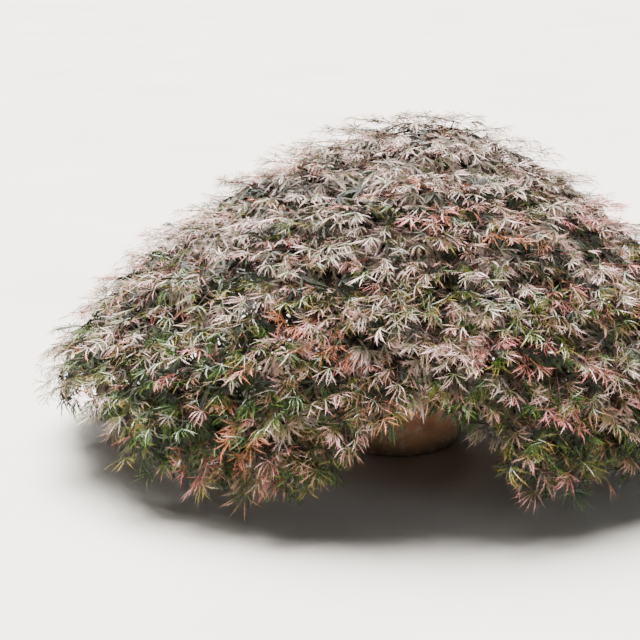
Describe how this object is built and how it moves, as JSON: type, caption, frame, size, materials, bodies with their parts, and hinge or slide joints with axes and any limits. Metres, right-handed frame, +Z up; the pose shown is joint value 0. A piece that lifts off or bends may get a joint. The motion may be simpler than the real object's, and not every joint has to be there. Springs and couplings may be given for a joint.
{
  "type": "potted japanese maple",
  "caption": "Weeping cut-leaf maple in a plain clay pot: a short trunk, arching boughs and a broad dome of finely cut foliage that hangs like a skirt.",
  "frame": {"origin": "centre of the pot's flat underside", "axes": "+Z up along the pot's axis, +X along the crown's widest span, -Y towards the front of the plant"},
  "size_m": [1.6713, 1.3038, 0.769],
  "materials": {
    "clay": "matte",
    "soil": "rough",
    "bark": "rough",
    "mauve_leaf": "satin",
    "silver_leaf": "satin",
    "rose_leaf": "satin",
    "salmon_leaf": "satin",
    "olive_leaf": "satin",
    "green_leaf": "satin",
    "bronze_leaf": "satin"
  },
  "bodies": {
    "root": {"pot": "clay", "soil": "soil", "trunk": "bark", "leader": "bark", "bough_front": "bark", "bough_front_right": "bark", "bough_back_right": "bark", "bough_back": "bark", "bough_back_left": "bark", "bough_front_left": "bark", "branch_right": "bark", "branch_right_back": "bark", "branch_back_right": "bark", "branch_back_left": "bark", "branch_left_back": "bark", "branch_left": "bark", "branch_left_front": "bark", "branch_front_left": "bark", "branch_front": "bark", "branch_front_right": "bark", "branch_right_front": "bark", "foliage_top_peak": "rose_leaf", "foliage_shoulder_front": "mauve_leaf", "foliage_shoulder_front_right": "silver_leaf", "foliage_shoulder_back_right": "rose_leaf", "foliage_shoulder_back": "mauve_leaf", "foliage_shoulder_back_left": "bronze_leaf", "foliage_shoulder_front_left": "silver_leaf", "foliage_skirt_right": "rose_leaf", "foliage_skirt_right_back": "green_leaf", "foliage_skirt_back_right": "mauve_leaf", "foliage_skirt_back_left": "olive_leaf", "foliage_skirt_left_back": "bronze_leaf", "foliage_skirt_left": "rose_leaf", "foliage_skirt_left_front": "olive_leaf", "foliage_skirt_front_left": "salmon_leaf", "foliage_skirt_front": "mauve_leaf", "foliage_skirt_front_right": "green_leaf", "foliage_skirt_right_front": "mauve_leaf"}
  },
  "joints": []
}
